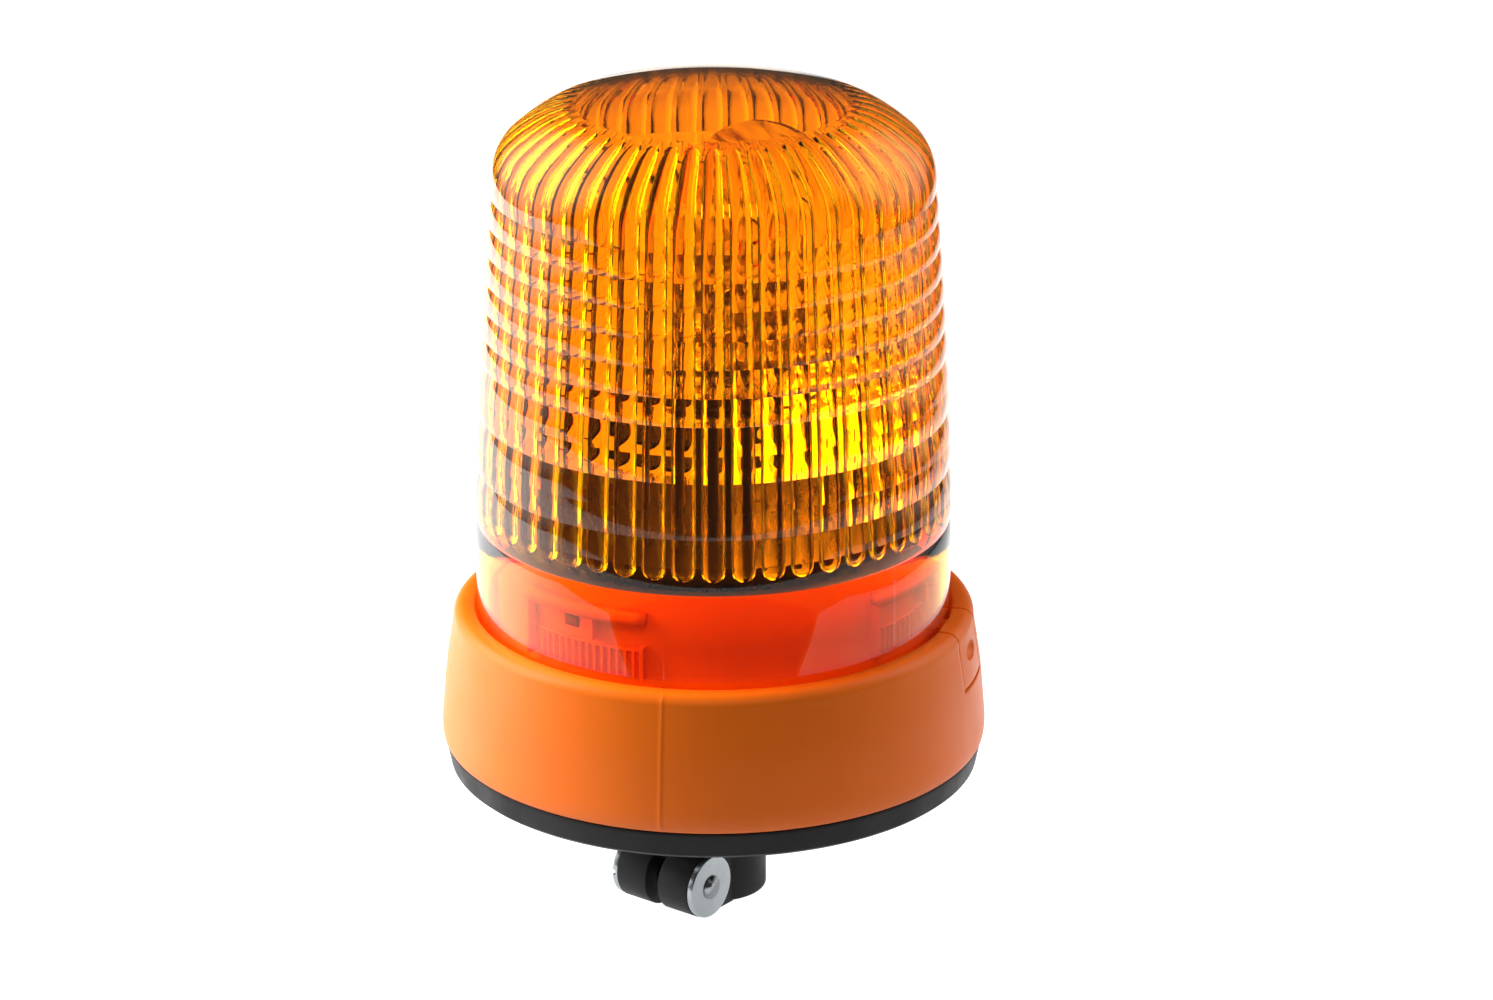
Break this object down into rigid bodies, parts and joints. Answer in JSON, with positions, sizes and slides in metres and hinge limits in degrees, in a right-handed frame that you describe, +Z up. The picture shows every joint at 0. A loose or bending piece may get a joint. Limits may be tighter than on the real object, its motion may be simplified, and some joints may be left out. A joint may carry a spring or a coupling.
{
  "type": "rotating warning beacon",
  "caption": "Amber rotating warning beacon with a fluted lens, orange base, turning reflector and a flexible clamp socket that fits over a pole spigot.",
  "frame": {"origin": "centre of the socket's mouth, on the axis of the spigot bore", "axes": "+Z up along the pole and the beacon axis; front is -Y, the side with the clamp ears; +X to the right seen from the front"},
  "size_m": [0.1674, 0.1674, 0.2583],
  "materials": {
    "orange_plastic": "satin moulded orange polycarbonate blend",
    "amber_lens": "transparent amber polycarbonate, polished outside, fluted inside",
    "black_rubber": "satin black rubber",
    "black_plastic": "fine-textured black moulded plastic",
    "zinc_steel": "bright zinc-plated steel",
    "spring_steel": "dark spring steel",
    "brass": "plain brass",
    "bronze": "sintered bronze",
    "mirror_aluminium": "vapour-coated mirror inside, spun marks behind",
    "motor_steel": "drawn steel can, plated",
    "magnet": "grey ferrite",
    "copper": "enamelled copper winding",
    "nylon": "natural acetal",
    "tan_plastic": "tan phenolic insulator",
    "lamp_glass": "clear quartz",
    "tungsten": "tungsten wire",
    "board_green": "solder-masked board",
    "capacitor_blue": "shrink-sleeved can",
    "wire_red": "red insulated lead",
    "wire_black": "black insulated leads"
  },
  "bodies": {
    "mount": {"clamp_socket": "black_rubber", "clamp_screw": "zinc_steel", "clamp_nut": "zinc_steel", "contact_carrier": "tan_plastic", "centre_contact": "brass", "earth_contact": "brass", "flex_neck": "black_rubber", "supply_leads": "wire_black"},
    "beacon": {"flange_ring": "zinc_steel", "flange_screws": "zinc_steel", "base_plate": "black_plastic", "base_screws": "zinc_steel", "base_seal": "black_rubber", "vent_plug": "black_plastic", "base_housing": "orange_plastic", "latch_pin": "zinc_steel", "latch_spring": "spring_steel", "lens_seal": "black_rubber", "deck_plate": "black_plastic", "deck_screws": "zinc_steel", "gear_shroud": "black_plastic", "motor_can": "motor_steel", "motor_magnets": "magnet", "motor_endcap": "black_plastic", "motor_terminals": "brass", "motor_screws": "zinc_steel", "motor_leads": "wire_red", "idler_shaft": "zinc_steel", "idler_circlip": "spring_steel", "lamp_post": "black_plastic", "post_screws": "zinc_steel", "bearing_bush": "bronze", "lamp_holder": "black_plastic", "bulb_base": "zinc_steel", "bulb_glass": "lamp_glass", "filament": "tungsten", "bulb_clip": "spring_steel", "lamp_leads": "wire_red", "circuit_board": "board_green", "board_screws": "zinc_steel", "choke": "copper", "capacitor": "capacitor_blue"},
    "lens": {"lens": "amber_lens"},
    "latch": {"latch": "orange_plastic"},
    "rotor": {"turntable": "black_plastic", "reflector": "mirror_aluminium", "reflector_bracket": "zinc_steel", "bracket_screws": "zinc_steel", "reflector_rivets": "zinc_steel"},
    "idler": {"idler_gear": "nylon"},
    "motor_rotor": {"motor_shaft": "zinc_steel", "motor_armature": "copper", "motor_pinion": "brass"}
  },
  "joints": [
    {"name": "neck_tilt", "type": "hinge", "parent": "mount", "child": "beacon", "pos_m": [0, 0, 0.042], "axis": [1, 0, 0], "range_deg": [-8, 8], "stiffness_Nm_per_rad": 25, "deforming": ["flex_neck", "supply_leads"]},
    {"name": "lens_twist", "type": "hinge", "parent": "beacon", "child": "lens", "pos_m": [0, 0, 0.1], "axis": [0, 0, 1], "range_deg": [0, 14]},
    {"name": "latch_pull", "type": "hinge", "parent": "beacon", "child": "latch", "pos_m": [0.07494, -0.01938, 0.0796], "axis": [0.2504, 0.9681, 0], "range_deg": [0, 8], "stiffness_Nm_per_rad": 0.15, "deforming": ["latch_spring"]},
    {"name": "rotor_spin", "type": "hinge", "parent": "beacon", "child": "rotor", "pos_m": [0, 0, 0.122], "axis": [0, 0, 1], "continuous": true},
    {"name": "idler_spin", "type": "hinge", "parent": "beacon", "child": "idler", "pos_m": [-0.03524, -0.01283, 0.11], "axis": [0, 0, 1], "continuous": true},
    {"name": "motor_spin", "type": "hinge", "parent": "beacon", "child": "motor_rotor", "pos_m": [-0.0213, -0.03087, 0.09], "axis": [0, 0, 1], "continuous": true}
  ],
  "couplings": [
    {"joint": "idler_spin", "follows": "rotor_spin", "ratio": -4},
    {"joint": "motor_spin", "follows": "rotor_spin", "ratio": 15}
  ]
}
